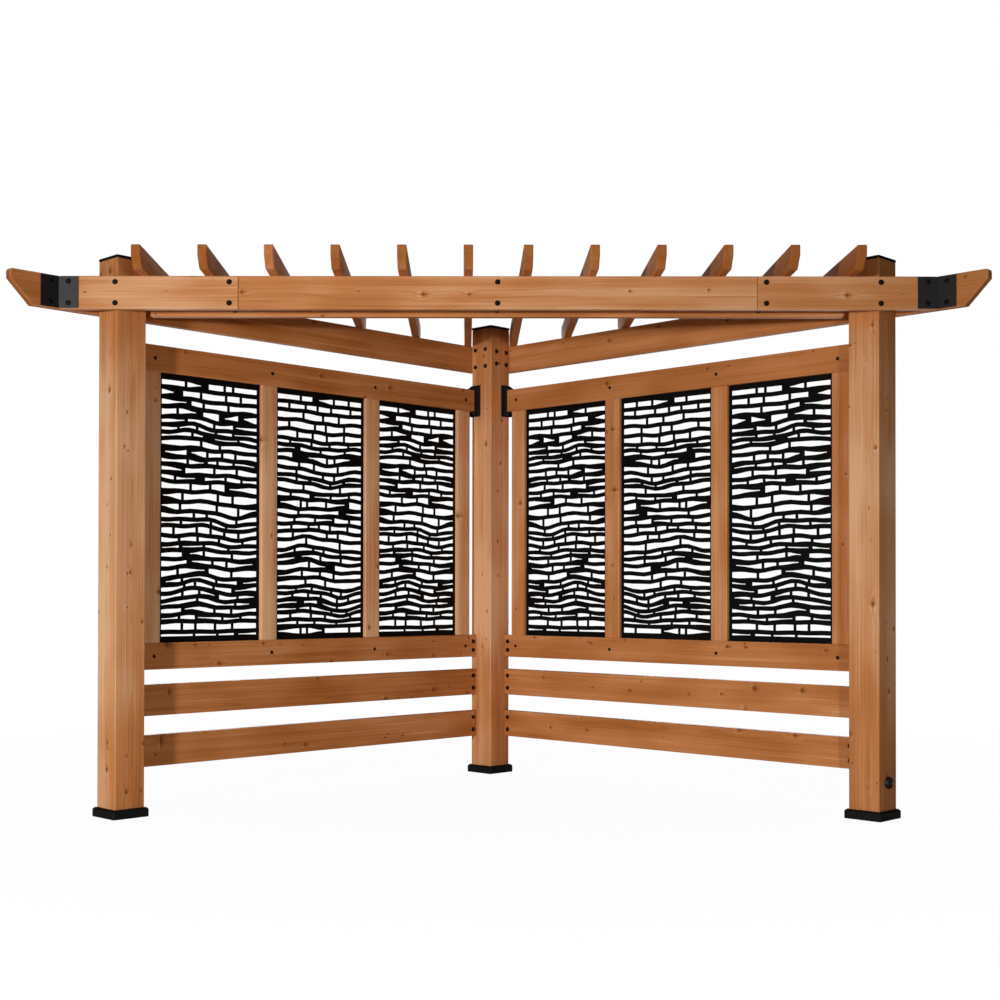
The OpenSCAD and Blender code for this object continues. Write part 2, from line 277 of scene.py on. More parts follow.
def knot_field(tree, along, angle, radius, spacing, size, share):
    """Where knots lie: the nearest one's distance in knot radii, its tail in the grain and its dark side.

    A knot is a branch that leaves the heart at one angle, and the saw cuts it longer than it is wide.
    """
    cell_angle, saw_stretch, out_of_reach = 1.05, 1.8, 100.0
    cell = put(tree, "ShaderNodeCombineXYZ", (
        calc(tree, "DIVIDE", along, spacing), calc(tree, "DIVIDE", angle, cell_angle))).outputs[0]
    nearest = put(tree, "ShaderNodeTexVoronoi", {"Vector": cell, "Scale": 1.0}, voronoi_dimensions="2D")
    away = put(tree, "ShaderNodeVectorMath", (cell, nearest.outputs["Position"]), operation="SUBTRACT")
    cells_along, cells_round, _ = put(tree, "ShaderNodeSeparateXYZ", (away.outputs[0],)).outputs
    size_draw, share_draw, _ = put(tree, "ShaderNodeSeparateColor", (nearest.outputs["Color"],)).outputs
    own_size = calc(tree, "MULTIPLY", size, calc(tree, "MULTIPLY_ADD", size_draw, 0.9, 0.45))
    own_length = calc(tree, "MULTIPLY", own_size, saw_stretch)
    missing = calc(tree, "MULTIPLY", calc(tree, "GREATER_THAN", share_draw, share), out_of_reach)
    lengthways = calc(tree, "DIVIDE", calc(tree, "MULTIPLY", cells_along, spacing), own_length)
    turn = calc(tree, "MULTIPLY", cells_round, cell_angle)
    sideways = calc(tree, "DIVIDE", calc(tree, "MULTIPLY", turn, radius), own_size)
    flat = put(tree, "ShaderNodeCombineXYZ", (lengthways, sideways)).outputs[0]
    distance = calc(tree, "ADD", length_of(tree, flat), missing)
    beside = fade(tree, calc(tree, "ABSOLUTE", sideways), 0.7, 0.05)
    reach = fade(tree, calc(tree, "ADD", calc(tree, "ABSOLUTE", lengthways), missing), 4.2, 0.4)
    dark_side = fade(tree, lengthways, -0.7, 0.5)
    return distance, calc(tree, "MULTIPLY", beside, reach), dark_side


def knot_marks(tree, source, along, angle, radius):
    """The hearts of knots and pin knots, the stain round them, and how far off the nearest one is."""
    spacing, size = source["Knot Spacing"], source["Knot Radius"]
    pin_spacing = calc(tree, "MULTIPLY", spacing, 0.55)
    pin_size = calc(tree, "MULTIPLY", size, 0.5)
    far, tail, dark_side = knot_field(tree, along, angle, radius, spacing, size, source["Knot Share"])
    pin_far, pin_tail, _ = knot_field(
        tree, along, angle, radius, pin_spacing, pin_size, source["Pin Share"])
    uneven = stretched_noise(tree, source["Heart"], (90.0, 260.0, 260.0), 1.0)
    ragged = calc(tree, "MULTIPLY_ADD", uneven, 0.9, -0.45)
    branch_shade = calc(tree, "MULTIPLY_ADD", dark_side, 0.6, 0.4)
    branch = calc(tree, "MULTIPLY", fade(tree, calc(tree, "ADD", far, ragged), 1.25, 0.45), branch_shade)
    pin = fade(tree, calc(tree, "ADD", pin_far, ragged), 1.15, 0.55)
    nearest = calc(tree, "ADD", calc(tree, "MINIMUM", far, pin_far), ragged)
    ring_shade = calc(tree, "MULTIPLY_ADD", dark_side, 1.1, -0.45)
    ring_round = calc(tree, "MULTIPLY", fade(tree, nearest, 2.6, 0.9), ring_shade)
    halo = calc(tree, "MULTIPLY_ADD", calc(tree, "MAXIMUM", tail, pin_tail), 0.6, ring_round)
    return calc(tree, "MAXIMUM", branch, pin), halo, nearest


def growth_rings(tree, source, radius, nearest_knot):
    """Dark late wood of the growth rings, which wander along the log and bow round the knots."""
    widest_bow = calc(tree, "MULTIPLY", source["Knot Radius"], 0.9)
    bow = calc(tree, "MULTIPLY", fade(tree, nearest_knot, 6.0, 0.5), widest_bow)
    wander = calc(tree, "MULTIPLY", stretched_noise(tree, source["Heart"], (1.3, 9.0, 9.0)), 0.022)
    grown = calc(tree, "ADD", calc(tree, "ADD", radius, bow), wander)
    phase = calc(tree, "DIVIDE", grown, source["Ring Width"])
    share = calc(tree, "FRACT", phase)
    late = calc(tree, "MULTIPLY", fade(tree, share, 0.25, 0.86), fade(tree, share, 1.0, 0.88))
    year = put(tree, "ShaderNodeTexWhiteNoise", {"W": calc(tree, "FLOOR", phase)}, noise_dimensions="1D")
    return calc(tree, "MULTIPLY", late, calc(tree, "MULTIPLY_ADD", year.outputs[0], 0.75, 0.25))


def cedar_grain():
    """Growth rings, streaks and knots of a log, read at a place measured from its heart."""
    tree, source, result = new_group("cedar_grain", {
        "Heart": ("NodeSocketVector", None), "Ring Width": ("NodeSocketFloat", 0.006),
        "Knot Spacing": ("NodeSocketFloat", 0.3), "Knot Radius": ("NodeSocketFloat", 0.0065),
        "Knot Share": ("NodeSocketFloat", 0.5), "Pin Share": ("NodeSocketFloat", 0.3)},
        ("Tone", "Knot", "Halo", "Fibre"))
    ring_weight, fibre_weight = 0.15, 0.12
    heart = source["Heart"]
    along, across, depth = put(tree, "ShaderNodeSeparateXYZ", (heart,)).outputs
    radius = length_of(tree, put(tree, "ShaderNodeCombineXYZ", (0.0, across, depth)).outputs[0])
    angle = calc(tree, "ARCTAN2", depth, across)
    knot, halo, nearest_knot = knot_marks(tree, source, along, angle, radius)
    tone = calc(tree, "MULTIPLY", growth_rings(tree, source, radius, nearest_knot), ring_weight)
    for stretch, detail, (start, end), weight in STREAKS.values():
        streak = fade(tree, stretched_noise(tree, heart, stretch, detail), start, end)
        tone = calc(tree, "MULTIPLY_ADD", streak, weight, tone)
    fibre = stretched_noise(tree, heart, (14.0, 900.0, 900.0))
    tone = calc(tree, "MULTIPLY_ADD", fibre, fibre_weight, tone)
    link_all(tree, {"Tone": tone, "Knot": knot, "Halo": halo, "Fibre": fibre}, result)
    return tree


def powder_texture():
    """Fine orange peel, broad uneven gloss and patches of dust on a powder coat."""
    tree, source, result = new_group("powder_texture", {
        "Place": ("NodeSocketVector", None), "Grain Size": ("NodeSocketFloat", 0.0012)},
        ("Peel", "Gloss", "Dust"))
    place = source["Place"]
    peel = noise(tree, place, calc(tree, "DIVIDE", 1.0, source["Grain Size"]), 2.0)
    gloss = noise(tree, place, 9.0, 3.0)
    dust = fade(tree, noise(tree, place, 34.0, 4.0), 0.45, 0.75)
    link_all(tree, {"Peel": peel, "Gloss": gloss, "Dust": dust}, result)
    return tree


def new_material(name):
    """An empty material with a Principled shader; returns it, its tree and the shader."""
    material = bpy.data.materials.new(name)
    material.use_nodes = True
    tree = material.node_tree
    return material, tree, tree.nodes["Principled BSDF"]


def finish_surface(tree, shader, colour, rough, relief, shine):
    """Gives a shader its colour, roughness and shine, and a relief: its height, strength and depth."""
    height, strength, depth = relief
    bump = put(tree, "ShaderNodeBump", {"Strength": strength, "Distance": depth, "Height": height})
    link_all(tree, {"Base Color": colour, "Roughness": rough, "Normal": bump.outputs[0]}, shader.inputs)
    shader.inputs["Specular IOR Level"].default_value = shine


def stain_colour(tree, stain, settings):
    """The colour of wood by the stain that it took, with any painted shade added: 0 is little, 1 is much."""
    ramp = put(tree, "ShaderNodeValToRGB", (stain,))
    stops = ramp.color_ramp.elements
    stops.new(0.5)
    for stop, place, colour in zip(stops, (0.0, 0.5, 1.0), (settings.pale, settings.warm, settings.deep)):
        stop.position = place
        stop.color = (*colour, 1)
    return ramp.outputs["Color"]


def painted_shade_by_height(tree, settings):
    """Painted shade on a post beyond its middle: darker towards the floor, and towards the beams, where less
    light falls.
    """
    even_reach, full_reach, upper_share = 0.15, 1.05, 0.85
    height = put(tree, "ShaderNodeSeparateXYZ", (object_place(tree),)).outputs["Z"]
    below = calc(tree, "SUBTRACT", settings.post_least_shade_height, height)
    off_middle = calc(tree, "MAXIMUM", below, calc(tree, "MULTIPLY", below, -upper_share))
    return fade(tree, off_middle, even_reach, full_reach, 0.0, settings.end_painted_shade)


def cedar(name, group, settings, knot_spacing, knot_share, pin_share, upright=False):
    """Stained cedar that follows each board's own cut; an upright post gets painted shade off its middle."""
    usual_tone, knot_cover = 0.28, 0.82
    halo_stain, end_and_seam_darkening, arris_wear_and_highlight = 0.42, 0.12, -0.10
    material, tree, shader = new_material(name)
    grain = put(tree, "ShaderNodeGroup", {
        "Heart": attribute(tree, "heart", "Vector"), "Ring Width": settings.ring_width,
        "Knot Spacing": knot_spacing, "Knot Radius": settings.knot_radius,
        "Knot Share": knot_share, "Pin Share": pin_share}, node_tree=group)
    tone, knot, halo, fibre = (grain.outputs[n] for n in ("Tone", "Knot", "Halo", "Fibre"))
    # The stain that the wood took; painted shade and a painted highlight are added to it below
    stain = calc(tree, "ADD", attribute(tree, "stain", "Fac"), calc(tree, "SUBTRACT", tone, usual_tone))
    stain = calc(tree, "MULTIPLY_ADD", halo, halo_stain, stain)
    # Painted shade on posts: darker towards the floor and towards the beams
    if upright:
        stain = calc(tree, "ADD", stain, painted_shade_by_height(tree, settings))
    # End grain takes more stain; a seam's rounded end edges get a painted shadow, as in the gap of a joint
    stain = calc(tree, "MULTIPLY_ADD", attribute(tree, "end_cut", "Fac"), end_and_seam_darkening, stain)
    # Rounded edges are lighter: partly sanded wear, partly a painted highlight
    stain = calc(tree, "MULTIPLY_ADD", attribute(tree, "arris", "Fac"), arris_wear_and_highlight, stain)
    wood = stain_colour(tree, stain, settings)
    colour = blend_colours(tree, calc(tree, "MULTIPLY", knot, knot_cover), wood, (*settings.knot, 1))
    rough = calc(tree, "MULTIPLY_ADD", tone, 0.16, 0.44)
    rough = calc(tree, "MULTIPLY_ADD", knot, -0.10, rough)
    height = calc(tree, "MULTIPLY_ADD", tone, -0.6, calc(tree, "MULTIPLY", fibre, 0.4))
    height = calc(tree, "MULTIPLY_ADD", knot, 0.4, height)
    finish_surface(tree, shader, colour, rough, relief=(height, 0.4, 0.0008), shine=0.07)
    return material


def coated_steel(name, group, coat, roughness, grain_size, shine):
    """Black powder coat with a fine texture and a trace of dust."""
    dust_cover, gloss_range = 0.35, 0.18
    material, tree, shader = new_material(name)
    powder = put(tree, "ShaderNodeGroup", {
        "Place": object_place(tree), "Grain Size": grain_size}, node_tree=group)
    dusty = tuple(1.8 * c + 0.002 for c in coat)
    cover = calc(tree, "MULTIPLY", powder.outputs["Dust"], dust_cover)
    colour = blend_colours(tree, cover, (*coat, 1), (*dusty, 1))
    rough = calc(tree, "MULTIPLY_ADD", powder.outputs["Gloss"], gloss_range, roughness - gloss_range / 2)
    finish_surface(tree, shader, colour, rough, (powder.outputs["Peel"], 0.3, 0.0003), shine)
    return material


def materials():
    """The scene's finishes, made once."""
    if not FINISHES:
        timber, steel = bpy.context.scene.pergola_timber, bpy.context.scene.pergola_steel
        grain, powder = cedar_grain(), powder_texture()
        FINISHES["post_timber"] = cedar(
            "post_timber", grain, timber, knot_spacing=0.26, knot_share=0.45, pin_share=0.45, upright=True)
        FINISHES["board_timber"] = cedar(
            "board_timber", grain, timber, knot_spacing=0.34, knot_share=0.40, pin_share=0.15)
        for name, (coat, roughness, grain_size, shine) in COATS.items():
            FINISHES[name] = coated_steel(name, powder, getattr(steel, coat), roughness, grain_size, shine)
    return FINISHES


# Pieces made from the frame's solids

# How much stain the boards took, by the first of these words that a node's name holds
STAINS = {
    "corner_post": -0.01, "left_post": -0.04, "right_post": 0.13,
    "header_left": 0.34, "header_right": 0.31, "inner_header": 0.58, "header": 0.41,
    "left_beam": 0.72, "right_beam": 0.60, "left_stiles": 0.15, "stiles": 0.45,
    "left_top": 0.67, "left_": 0.65, "right_top": 0.63, "rail": 0.60,
    "rafter_10": 0.76, "rafter_11": 0.94, "rafter_12": 1.02, "rafter_1": 0.84, "rafter_2": 0.80,
    "rafter_3": 0.54, "rafter_5": 0.60, "rafter": 0.70,
}

# Painted shade: how much darker the posts are on their right faces than on their left ones, where less light
# falls
RIGHT_FACE_SHADES = {"corner_post": 0.16, "left_post": 0.20, "right_post": 0.02}


def solid_copies(node):
    """The separate solids of a CAD node, each as a bmesh with its flat faces rejoined."""
    flat = math.radians(0.5)
    whole = bmesh.new()
    whole.from_mesh(frame["nodes"][node].data)
    bmesh.ops.remove_doubles(whole, verts=whole.verts, dist=NEAR)
    bmesh.ops.dissolve_limit(whole, angle_limit=flat, verts=whole.verts, edges=whole.edges)
    whole.verts.index_update()
    left = set(whole.verts)
    solids = []
    while left:
        island, todo = set(), [min(left, key=lambda v: tuple(v.co))]
        while todo:
            vert = todo.pop()
            if vert in left:
                left.remove(vert)
                island.add(vert.index)
                todo.extend(edge.other_vert(vert) for edge in vert.link_edges)
        solid = whole.copy()
        others = [vert for vert in solid.verts if vert.index not in island]
        bmesh.ops.delete(solid, geom=others, context="VERTS")
        solids.append(solid)
    whole.free()
    return solids


def round_edges(solid, edges, width, segments):
    """Rounds some edges of a solid and marks the rounded strips."""
    arris = solid.faces.layers.float.get("arris") or solid.faces.layers.float.new("arris")
    made = bmesh.ops.bevel(solid, geom=edges, offset=width, offset_type="OFFSET", segments=segments,
                           profile=0.5, affect="EDGES", clamp_overlap=True)
    for face in made["faces"]:
        face.smooth = True
        face[arris] = 1.0


def ease_edges(solid, width, segments):
    """Rounds the outer edges of a solid; grooves, notches and laps stay sharp."""
    outer = set()
    for face in solid.faces:
        reach = max(face.normal.dot(vert.co - face.verts[0].co) for vert in solid.verts)
        if reach < NEAR:
            outer.add(face)
    sharp = math.radians(50)
    edges = [edge for edge in solid.edges
             if len(edge.link_faces) == 2 and all(face in outer for face in edge.link_faces)
             and edge.calc_face_angle(0.0) > sharp]
    round_edges(solid, edges, width, segments)


def tail_corner(solid):
    """The upper corner of a beam's tail: the highest level edge that lies farthest to the front."""
    top = max(vert.co.z for vert in solid.verts)
    level = [edge for edge in solid.edges if all(top - vert.co.z < NEAR for vert in edge.verts)]
    return min(level, key=lambda edge: sum(vert.co.y for vert in edge.verts))


def board_axes(solid):
    """The direction a board runs in, and the two directions across it."""
    def extent(direction):
        reach = [direction.dot(vert.co) for vert in solid.verts]
        return max(reach) - min(reach)

    along = max(BOARD_DIRECTIONS, key=extent)
    across = DIAGONAL if along == UP else UP
    return along, across, along.cross(across)


def heart_offset(draws, boxed_heart):
    """How far the log's heart lies from a board's middle, across the board and through its depth."""
    if boxed_heart:
        return draws.uniform(-0.02, 0.02), draws.uniform(-0.02, 0.02)
    sawn_through_heart = 0.35
    if draws.random() < sawn_through_heart:
        across = draws.choice((-1, 1)) * draws.uniform(0.02, 0.06)
        return across, draws.uniform(-0.012, 0.012)
    across = draws.uniform(-0.05, 0.05)
    return across, draws.choice((-1, 1)) * draws.uniform(0.035, 0.11)


def cut_from_log(solid, draws, usual_stain, right_shade, boxed_heart, seamed):
    """Writes each point's place in the log that the board was cut from, the board's stain and its cut ends.

    Painted shade darkens a board towards its right by the given share, and a seamed board's end edges get a
    painted shadow, as in the gap of a joint.
    """
    along, across, depth = board_axes(solid)
    middle = sum((vert.co for vert in solid.verts), Vector()) / len(solid.verts)
    heart_across, heart_depth = heart_offset(draws, boxed_heart)
    start = draws.uniform(0.0, 40.0)
    board_stain = usual_stain + draws.uniform(-0.06, 0.06)
    half_diagonal = POST_W * math.sqrt(0.5)
    heart = solid.verts.layers.float_vector.new("heart")
    stain = solid.verts.layers.float.new("stain")
    for vert in solid.verts:
        place = vert.co - middle
        vert[heart] = Vector((
            along.dot(place) + start, across.dot(place) - heart_across, depth.dot(place) - heart_depth))
        # The board's stain, with painted shade growing towards the right faces
        vert[stain] = board_stain + right_shade * place.x / half_diagonal
    end_cut = solid.faces.layers.float.new("end_cut")
    arris = solid.faces.layers.float.get("arris")
    end_face, end_edge, seam_painted_shadow = 0.6, 0.3, 6.0
    for face in solid.faces:
        lengthways = abs(face.normal.dot(along))
        face[end_cut] = 1.0 if lengthways > end_face else 0.0
        # A seamed board's rounded end edges get a painted shadow, many times the end grain's extra stain
        if seamed and face[arris] and lengthways > end_edge:
            face[end_cut] = seam_painted_shadow


def joined_mesh(name, solids):
    """One mesh from several bmeshes, which are freed."""
    target = bmesh.new()
    for solid in solids:
        part = bpy.data.meshes.new("part")
        solid.to_mesh(part)
        solid.free()
        target.from_mesh(part)
        bpy.data.meshes.remove(part)
    mesh = bpy.data.meshes.new(name)
    target.to_mesh(mesh)
    target.free()
    return mesh


def show(name, mesh, slot, *nodes, finish=None):
    """Puts a finished mesh in the scene as a piece that rides on the frame and stands for these nodes."""
    mesh.materials.clear()
    mesh.materials.append(materials()[finish or slot])
    piece = bpy.data.objects.new(name, mesh)
    bpy.context.scene.collection.objects.link(piece)
    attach(piece, BODY)
    if nodes:
        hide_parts(*nodes)


def timber_piece(node, ease, segments, slot, boxed_heart=False, tail_round=0.0, seamed=False):
    """A board or post with eased edges and its own grain in place of a CAD node."""
    settings = bpy.context.scene.pergola_timber
    draws = random.Random(f"{settings.seed} {node}")
    usual_stain = next(STAINS[word] for word in STAINS if word in node)
    solids = solid_copies(node)
    for solid in solids:
        if tail_round:
            round_edges(solid, [tail_corner(solid)], tail_round, 4)
        ease_edges(solid, ease, segments)
        cut_from_log(solid, draws, usual_stain, RIGHT_FACE_SHADES.get(node, 0.0), boxed_heart, seamed)
    show(f"{node}_timber", joined_mesh(f"{node}_timber", solids), slot, node)


def steel_piece(node, width, segments, finish):
    """A steel fitting with rounded edges in place of a CAD node."""
    solids = solid_copies(node)
    for solid in solids:
        ease_edges(solid, width, segments)
    show(f"{node}_steel", joined_mesh(f"{node}_steel", solids), "black_steel", node, finish=finish)


# Bolts, screws and sleeves, made by geometry nodes


def geometry_group(name, inputs):
    """An empty geometry group with a geometry input and named sizes."""
    tree = bpy.data.node_groups.new(name, "GeometryNodeTree")
    tree.interface.new_socket("Geometry", in_out="INPUT", socket_type="NodeSocketGeometry")
    for socket, kind in inputs.items():
        tree.interface.new_socket(socket, in_out="INPUT", socket_type=kind)
    tree.interface.new_socket("Geometry", in_out="OUTPUT", socket_type="NodeSocketGeometry")
    return tree, put(tree, "NodeGroupInput").outputs, put(tree, "NodeGroupOutput").inputs[0]


def lifted(tree, geometry, height):
    """Geometry moved up by a height."""
    offset = put(tree, "ShaderNodeCombineXYZ", (0.0, 0.0, height)).outputs[0]
    return put(tree, "GeometryNodeTransform", {"Geometry": geometry, "Translation": offset}).outputs[0]


def cylinder(tree, corners, radius, depth):
    """An upright cylinder or prism about the origin."""
    inputs = {"Vertices": corners, "Radius": radius, "Depth": depth}
    return put(tree, "GeometryNodeMeshCylinder", inputs).outputs["Mesh"]


def placed(tree, points, shape, material, target):
    """Sets a shape on every point, turned to the point's own facing, as real mesh with a material."""
    facing = put(tree, "GeometryNodeInputNamedAttribute", ("facing",), data_type="FLOAT_VECTOR").outputs[0]
    turn = put(tree, "FunctionNodeAlignRotationToVector", {"Vector": facing}, axis="Z").outputs[0]
    copies = put(tree, "GeometryNodeInstanceOnPoints", {
        "Points": points, "Instance": shape, "Rotation": turn}).outputs[0]
    real = put(tree, "GeometryNodeRealizeInstances", (copies,)).outputs[0]
    done = put(tree, "GeometryNodeSetMaterial", {"Geometry": real, "Material": material}).outputs[0]
    tree.links.new(done, target)


def head_tree():
    """A fastener's head: a flat rim, a low dome and a six-sided recess, on every point of the input."""
    tree, source, target = geometry_group("fastener_heads", {
        "Diameter": "NodeSocketFloat", "Height": "NodeSocketFloat", "Material": "NodeSocketMaterial"})
    radius = calc(tree, "MULTIPLY", source["Diameter"], 0.5)
    height = source["Height"]
    rim_height = calc(tree, "MULTIPLY", height, 0.3)
    rim = cylinder(tree, 24, radius, rim_height)
    parts = [lifted(tree, rim, calc(tree, "MULTIPLY", rim_height, 0.5))]
    # Steps of the dome: the lower and upper radius, then the height and the foot, as shares of the head's
    for lower, upper, tall, foot in ((0.94, 0.78, 0.4, 0.3), (0.78, 0.50, 0.3, 0.7)):
        step = put(tree, "GeometryNodeMeshCone", {
            "Vertices": 24, "Radius Bottom": calc(tree, "MULTIPLY", radius, lower),
            "Radius Top": calc(tree, "MULTIPLY", radius, upper),
            "Depth": calc(tree, "MULTIPLY", height, tall)}).outputs["Mesh"]
        parts.append(lifted(tree, step, calc(tree, "MULTIPLY", height, foot)))
    recess = cylinder(tree, 6, calc(tree, "MULTIPLY", radius, 0.40), height)
    recess = lifted(tree, recess, calc(tree, "MULTIPLY", height, 1.05))
    solid = put(tree, "GeometryNodeMeshBoolean", operation="UNION")
    for part in parts:
        tree.links.new(part, solid.inputs["Mesh 2"])
    head = put(tree, "GeometryNodeMeshBoolean", {
        "Mesh 1": solid.outputs["Mesh"], "Mesh 2": recess}, operation="DIFFERENCE")
    placed(tree, source["Geometry"], head.outputs["Mesh"], source["Material"], target)
    return tree


def sleeve_tree():
    """A round sleeve on every point of the input."""
    tree, source, target = geometry_group("header_sleeves", {
        "Diameter": "NodeSocketFloat", "Length": "NodeSocketFloat", "Material": "NodeSocketMaterial"})
    length = source["Length"]
    tube = cylinder(tree, 32, calc(tree, "MULTIPLY", source["Diameter"], 0.5), length)
    tube = lifted(tree, tube, calc(tree, "MULTIPLY", length, 0.5))
    placed(tree, source["Geometry"], tube, source["Material"], target)
    return tree


def set_on_points(name, tree, points, sizes, finish, *nodes):
    """Runs a geometry tree on points with facings and shows the result as one plain mesh."""
    mesh = bpy.data.meshes.new(f"{name}_points")
    mesh.from_pydata([place for place, _ in points], [], [])
    facing = mesh.attributes.new("facing", "FLOAT_VECTOR", "POINT")
    for i, (_, direction) in enumerate(points):
        facing.data[i].vector = direction
    carrier = bpy.data.objects.new(f"{name}_points", mesh)
    bpy.context.scene.collection.objects.link(carrier)
    modifier = carrier.modifiers.new("set_on_points", "NODES")
    modifier.node_group = tree
    values = {**sizes, "Material": materials()[finish]}
    for item in tree.interface.items_tree:
        if item.in_out == "INPUT" and item.name in values:
            modifier[item.identifier] = values[item.name]
    result = carrier.evaluated_get(bpy.context.evaluated_depsgraph_get())
    made = bpy.data.meshes.new_from_object(result)
    made.name = name
    bpy.data.objects.remove(carrier)
    show(name, made, "black_steel", *nodes, finish=finish)


def wall_run(side):
    """The direction that a wall runs in, from the corner post to the front."""
    return Vector((side, -1, 0)).normalized()


def wall_facing(side):
    """The direction that a wall's inner faces look in."""
    return Vector((-side, -1, 0)).normalized()


def wall_place(side, along, inwards, height):
    """A point of a wall, from the corner post's axis: along the wall, towards the inside, and up."""
    return wall_run(side) * along + wall_facing(side) * inwards + UP * height


def header_bolts():
    """Bolts of the front header, at the posts, the seams and the middle, and of the inner header."""
    edge = bpy.context.scene.pergola_fasteners.bolt_edge
    inner_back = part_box("inner_header")[1].y
    points = []
    for z in (HEADER_LOW.z + edge, HEADER_HIGH.z - edge):
        for x in (-HALF_SPAN, -SEAM_X, 0.0, SEAM_X, HALF_SPAN):
            points.append((Vector((x, HEADER_LOW.y, z)), FRONT))
        for x in (-SEAM_X, 0.0, SEAM_X):
            points.append((Vector((x, inner_back, z)), -FRONT))
    return points


def plate_bolts():
    """Two bolts in each leg of the bent corner plates."""
    inset = 0.021
    low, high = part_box("corner_plates")
    knee_x = abs(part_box("header_left")[0].x)
    leg = (abs(low.x) - knee_x) * math.sqrt(2)
    thick = HEADER_LOW.y - low.y - leg / math.sqrt(2)
    points = []
    for side in SIDES.values():
        knee = Vector((side * knee_x, HEADER_LOW.y, 0))
        tail_facing = wall_facing(side)
        for z in (low.z + inset, high.z - inset):
            on_header = knee + Vector((-side * leg / 2, -thick, z))
            on_tail = knee + wall_run(side) * leg / 2 + tail_facing * thick + UP * z
            points.append((on_header, FRONT))
            points.append((on_tail, tail_facing))
    return points


def corner_post_bolts():
    """Four bolts in each front face of the corner post, at the side beams, in closer rows on the right."""
    columns = (0.19, 0.71)
    row_inset = {"left": 0.024, "right": 0.036}
    points = []
    for word, side in SIDES.items():
        facing = wall_run(side)
        low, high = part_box(f"{word}_beam")
        for share in columns:
            for z in (low.z + row_inset[word], high.z - row_inset[word]):
                place = facing * POST_W / 2 + wall_facing(side) * (share - 0.5) * POST_W + UP * z
                points.append((place, facing))
    return points


def rail_bolts():
    """Pairs of bolts at both ends of the three lower rails, on the walls' inner faces."""
    end_inset, edge_inset = POST_W / 2 + 0.026, 0.035
    clear_of_post = {"right_low_rail": 0.027}
    run_length = HALF_SPAN * math.sqrt(2)
    points = []
    for word, side in SIDES.items():
        for rail in ("sill_rail", "middle_rail", "low_rail"):
            node = f"{word}_{rail}"
            low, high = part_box(node)
            front_end = run_length - end_inset - clear_of_post.get(node, 0.0)
            for z in (low.z + edge_inset, high.z - edge_inset):
                for along in (end_inset, front_end):
                    points.append((wall_place(side, along, RAIL_FACE, z), wall_facing(side)))
    return points


def wall_screws():
    """One screw in the top rail and one in the sill rail at each stile, set towards the corner post."""
    towards_corner = 0.015
    points = []
    for word, side in SIDES.items():
        run = wall_run(side)
        for solid in solid_copies(f"{word}_stiles"):
            reach = [run.dot(vert.co) for vert in solid.verts]
            along = (min(reach) + max(reach)) / 2 - towards_corner
            for rail in ("top_rail", "sill_rail"):
                low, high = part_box(f"{word}_{rail}")
                middle = wall_place(side, along, RAIL_FACE, (low.z + high.z) / 2)
                points.append((middle, wall_facing(side)))
            solid.free()
    return points


def turned_disc(name, radius, thickness, place, facing):
    """A plain disc with a raised, rounded rim, lathed from a short profile."""
    # From the middle outwards and back: shares of the radius and of the thickness
    profile = ((0.0, 0.55), (0.80, 0.55), (0.86, 0.75), (0.91, 1.0),
               (0.96, 0.92), (1.0, 0.6), (1.0, 0.0), (0.0, 0.0))
    turns = 48
    solid = bmesh.new()
    verts = [solid.verts.new((radius * r, 0, thickness * z)) for r, z in profile]
    edges = [solid.edges.new(pair) for pair in zip(verts, verts[1:])]
    bmesh.ops.spin(solid, geom=verts + edges, cent=(0, 0, 0), axis=(0, 0, 1), steps=turns, angle=math.tau)
    bmesh.ops.remove_doubles(solid, verts=solid.verts, dist=NEAR)
    bmesh.ops.recalc_face_normals(solid, faces=solid.faces)
    turn = facing.to_track_quat("Z", "Y").to_matrix().to_4x4()
    bmesh.ops.transform(solid, matrix=Matrix.Translation(place) @ turn, verts=solid.verts)
    return joined_mesh(name, [solid])


# Floor, lights and camera

# Lights: the place, the aim, the width, the setting that holds the power, and the spread in degrees
LOW_AIM, MIDDLE_AIM = (0.0, -1.2, 0.2), (0.0, -0.8, 1.2)
LIGHTS = {
    "key_light": ((-3.8, -7.7, 1.4), LOW_AIM, 0.4, "key", 110),
    "fill_light": ((1.7, -7.7, 1.3), LOW_AIM, 0.15, "fill", 110),
    "left_back_light": ((-3.2, 8.0, 2.2), MIDDLE_AIM, 3.0, "back", 180),
    "right_back_light": ((3.2, 8.0, 2.2), MIDDLE_AIM, 3.0, "back", 180),
    "top_light": ((0.0, 2.0, 7.0), MIDDLE_AIM, 3.0, "top", 180),
}


def lay_floor(settings):
    """A wide pale floor that keeps a faint shadow near the object and runs out into white."""
    reach = 60.0
    corners = [(-reach, -reach, 0), (reach, -reach, 0), (reach, reach, 0), (-reach, reach, 0)]
    mesh = bpy.data.meshes.new("floor")
    mesh.from_pydata(corners, [], [(0, 1, 2, 3)])
    material, tree, shader = new_material("pale_floor")
    shader.inputs["Base Color"].default_value = (*settings.floor, 1)
    shader.inputs["Roughness"].default_value = 0.9
    bleach = fade(tree, length_of(tree, object_place(tree)), 1.5, 4.5, 0.97, 1.0)
    seen = put(tree, "ShaderNodeLightPath").outputs["Is Camera Ray"]
    white = put(tree, "ShaderNodeEmission", {"Color": (1, 1, 1, 1), "Strength": 1.0}).outputs[0]
    share = calc(tree, "MULTIPLY", bleach, seen)
    both = put(tree, "ShaderNodeMixShader", (share, shader.outputs[0], white)).outputs[0]
    tree.links.new(both, tree.nodes["Material Output"].inputs["Surface"])
    mesh.materials.append(material)
    floor = bpy.data.objects.new("floor", mesh)
    bpy.context.scene.collection.objects.link(floor)


